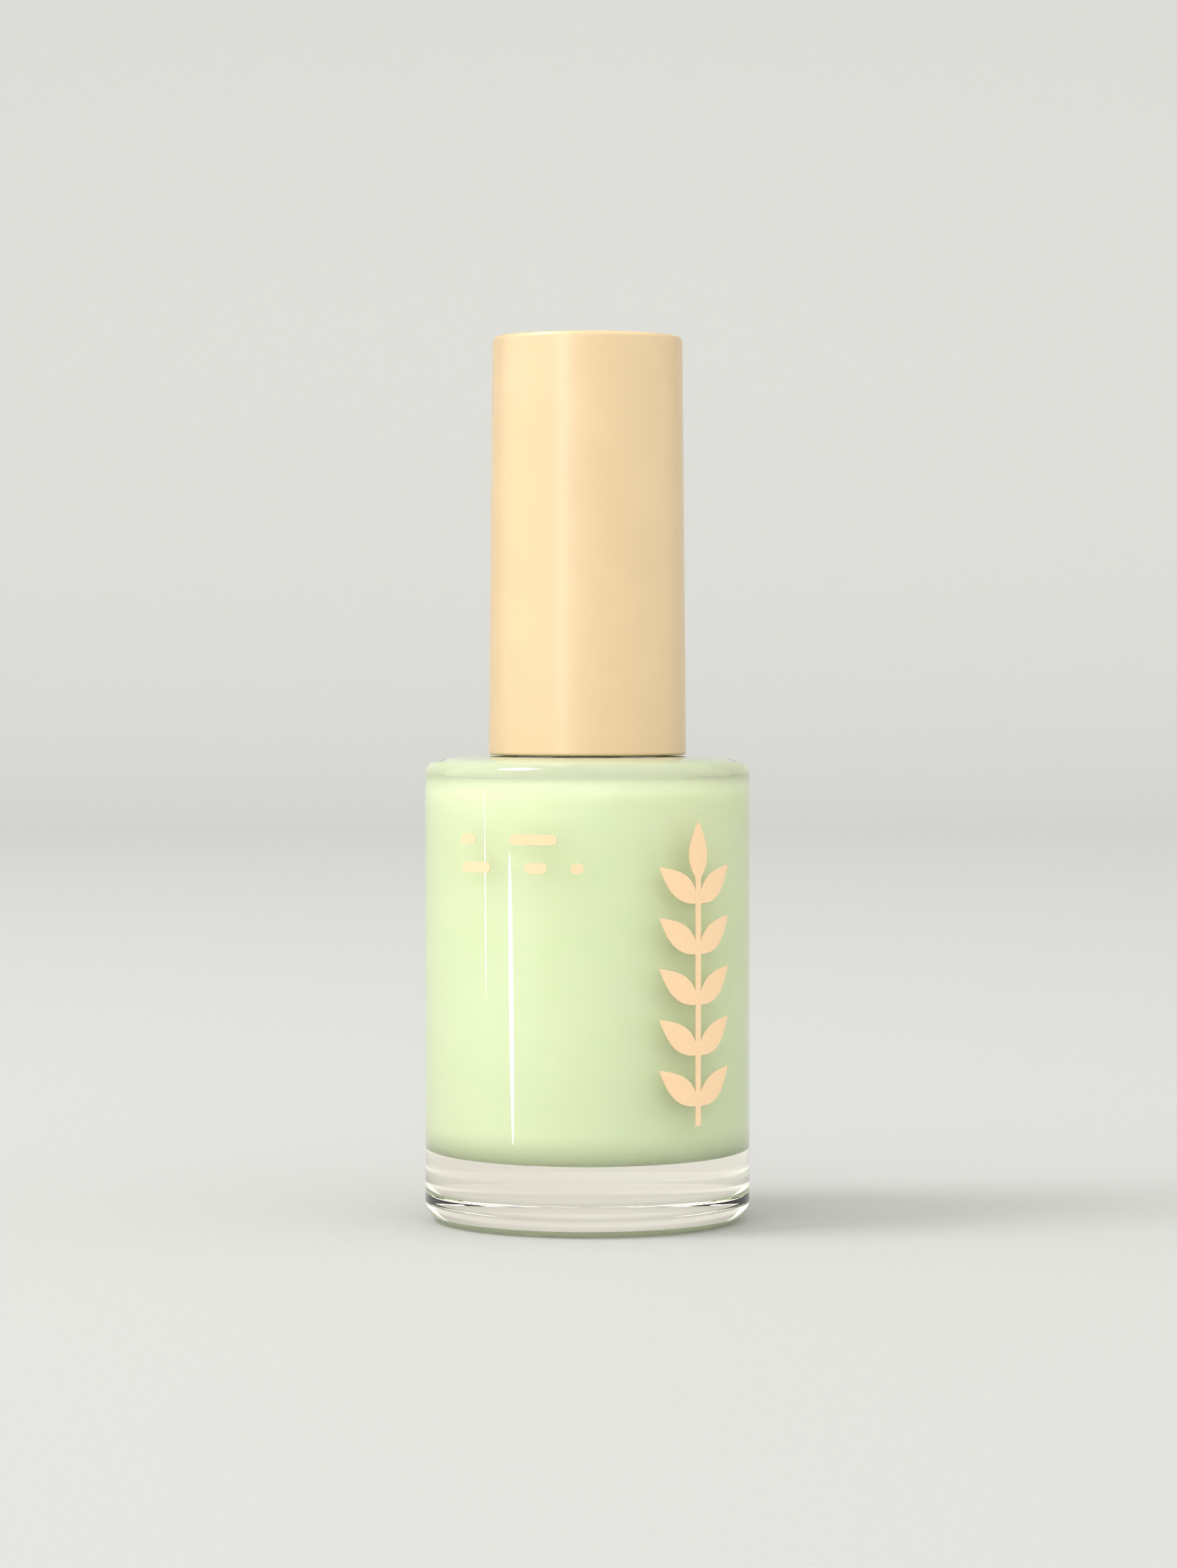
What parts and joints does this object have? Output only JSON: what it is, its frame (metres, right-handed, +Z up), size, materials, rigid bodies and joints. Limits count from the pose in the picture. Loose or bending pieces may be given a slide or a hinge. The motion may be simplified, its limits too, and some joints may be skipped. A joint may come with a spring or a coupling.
{
  "type": "nail polish bottle",
  "caption": "Round thick-walled glass nail polish bottle with a tall matte screw cap that unscrews and lifts out with its brush, stem and bristles.",
  "frame": {"origin": "middle of the foot's underside, on the bottle's axis", "axes": "+Z up along the bottle's axis, -Y towards the printed front, +X to the right of someone facing it"},
  "size_m": [0.026, 0.026, 0.0706],
  "materials": {
    "bottle_glass": "clear flint glass, polished",
    "polish": "opaque pastel green nail polish, wet gloss",
    "ball_steel": "polished steel",
    "print_ink": "screen-printed peach ink",
    "seal": "soft translucent white",
    "liner_foam": "white polyethylene foam",
    "outer_cap": "satin peach coating with a very fine texture",
    "inner_cap": "moulded white polypropylene",
    "brush_stem": "moulded natural polyethylene",
    "bristles": "dark nylon filament",
    "staple": "flat steel wire"
  },
  "bodies": {
    "bottle": {"glass_bottle": "bottle_glass", "polish": "polish", "mixing_balls": "ball_steel", "front_print": "print_ink"},
    "seal": {"seal_ring": "seal"},
    "liner": {"cap_liner": "liner_foam"},
    "cap": {"outer_cap": "outer_cap", "inner_cap": "inner_cap", "brush_stem": "brush_stem", "bristles": "bristles", "bristle_staple": "staple"}
  },
  "joints": [
    {"name": "lift_out", "type": "slide", "parent": "bottle", "child": "seal", "axis": [0, 0, 1], "range_m": [0, 0.05]},
    {"name": "thread_rise", "type": "slide", "parent": "seal", "child": "liner", "axis": [0, 0, 1], "range_m": [0, 0.00377]},
    {"name": "cap_turn", "type": "hinge", "parent": "liner", "child": "cap", "pos_m": [0, 0, 0.045], "axis": [0, 0, 1], "range_deg": [0, 640]}
  ],
  "couplings": [
    {"joint": "thread_rise", "follows": "cap_turn", "m_per_rad": 0.00033688}
  ]
}
